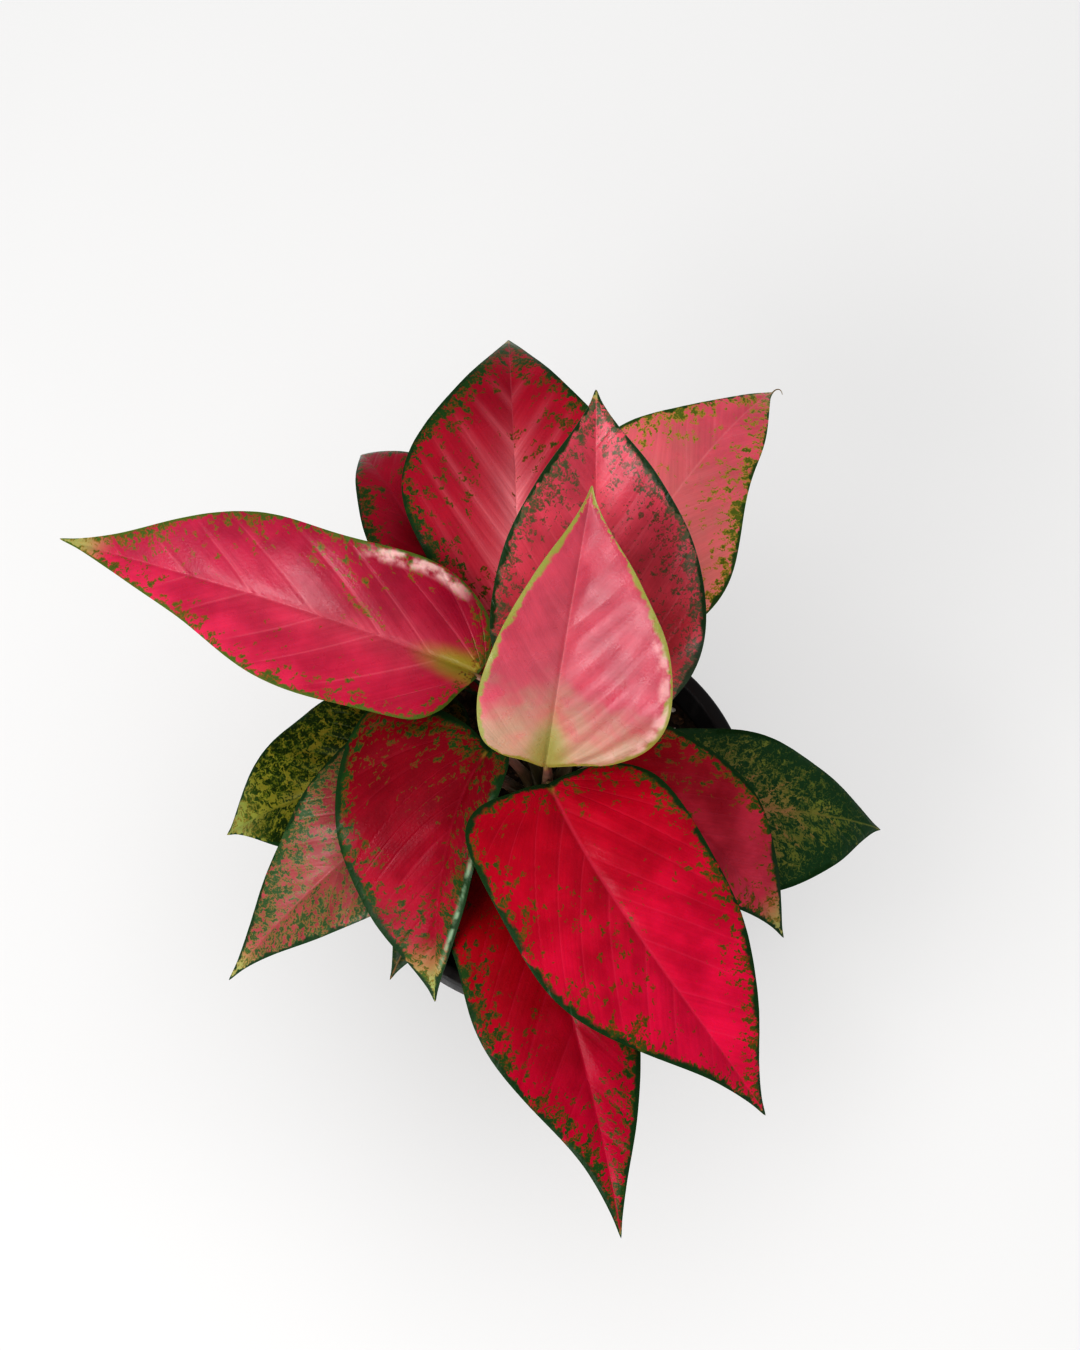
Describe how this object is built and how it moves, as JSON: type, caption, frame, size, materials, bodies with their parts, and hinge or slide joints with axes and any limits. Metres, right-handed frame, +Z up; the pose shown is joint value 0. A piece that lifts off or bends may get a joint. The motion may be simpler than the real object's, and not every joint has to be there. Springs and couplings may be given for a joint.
{
  "type": "potted chinese evergreen",
  "caption": "Potted Chinese evergreen: broad pointed leaves in pink, red and speckled green on slender petioles, in a drooping rosette over a plain tapered nursery pot of soil.",
  "frame": {"origin": "centre of the pot's underside, on the surface that it stands on", "axes": "+Z up along the pot's axis; +Y away from the viewer of the picture, so that -Y is the front; +X to the viewer's right"},
  "size_m": [0.3084, 0.3265, 0.3093],
  "materials": {
    "leaf_pink": "glossy living leaf, pink with a narrow green margin",
    "leaf_crimson": "glossy living leaf, crimson with a green-flecked margin",
    "leaf_dark_red": "glossy living leaf, deep red with a dark green margin",
    "leaf_speckled": "glossy living leaf, pink heavily flecked with green",
    "leaf_green": "glossy living leaf, dark green flecked with pink",
    "stem": "smooth living stalk, pale pink to olive",
    "soil": "moist, crumbly potting mix of peat and bark",
    "pot": "plain black moulded plastic, slightly satin"
  },
  "bodies": {
    "root": {"pot": "pot", "soil": "soil", "stem_and_petioles": "stem", "leaf_01_blade": "leaf_pink", "leaf_02_blade": "leaf_crimson", "leaf_03_blade": "leaf_crimson", "leaf_04_blade": "leaf_crimson", "leaf_05_blade": "leaf_dark_red", "leaf_06_blade": "leaf_crimson", "leaf_07_blade": "leaf_pink", "leaf_08_blade": "leaf_dark_red", "leaf_09_blade": "leaf_dark_red", "leaf_10_blade": "leaf_speckled", "leaf_11_blade": "leaf_dark_red", "leaf_12_blade": "leaf_green", "leaf_13_blade": "leaf_green", "leaf_14_blade": "leaf_green"}
  },
  "joints": []
}
